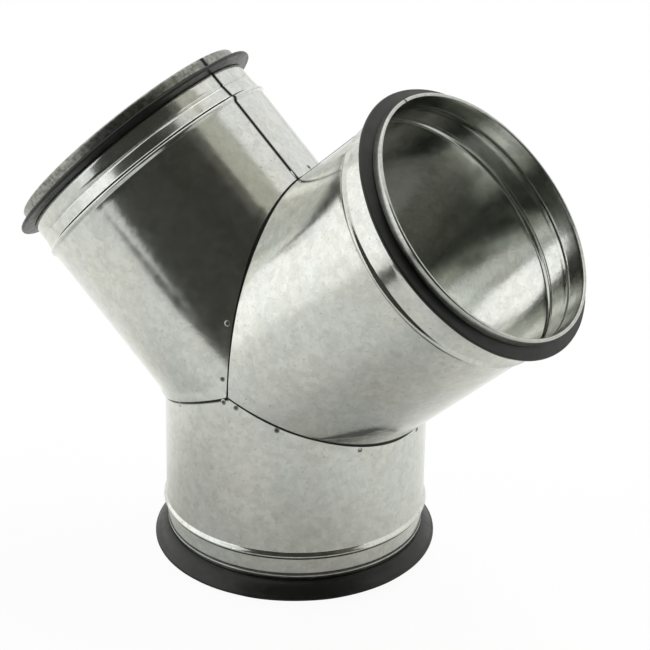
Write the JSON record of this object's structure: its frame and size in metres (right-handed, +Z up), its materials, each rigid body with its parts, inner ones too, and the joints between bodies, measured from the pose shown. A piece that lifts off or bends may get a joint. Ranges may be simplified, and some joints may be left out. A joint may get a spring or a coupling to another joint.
{
  "type": "duct y branch",
  "caption": "Round sheet-metal Y branch for ventilation duct: mitred legs with stop beads and rubber lip seals split one air flow in two.",
  "frame": {"origin": "centre of the trunk's rim, on the surface that the part stands on", "axes": "+Z up along the trunk's axis, +X towards the right branch, both branches in the XZ plane, -Y towards the viewer of the picture"},
  "size_m": [0.4398, 0.2178, 0.3774],
  "materials": {
    "galvanised_sheet": "hot-dip galvanised, fine spangle",
    "seal_rubber": "black EPDM, satin"
  },
  "bodies": {
    "root": {"trunk_leg": "galvanised_sheet", "trunk_seal": "seal_rubber", "left_leg": "galvanised_sheet", "left_seal": "seal_rubber", "right_leg": "galvanised_sheet", "right_seal": "seal_rubber"}
  },
  "joints": []
}
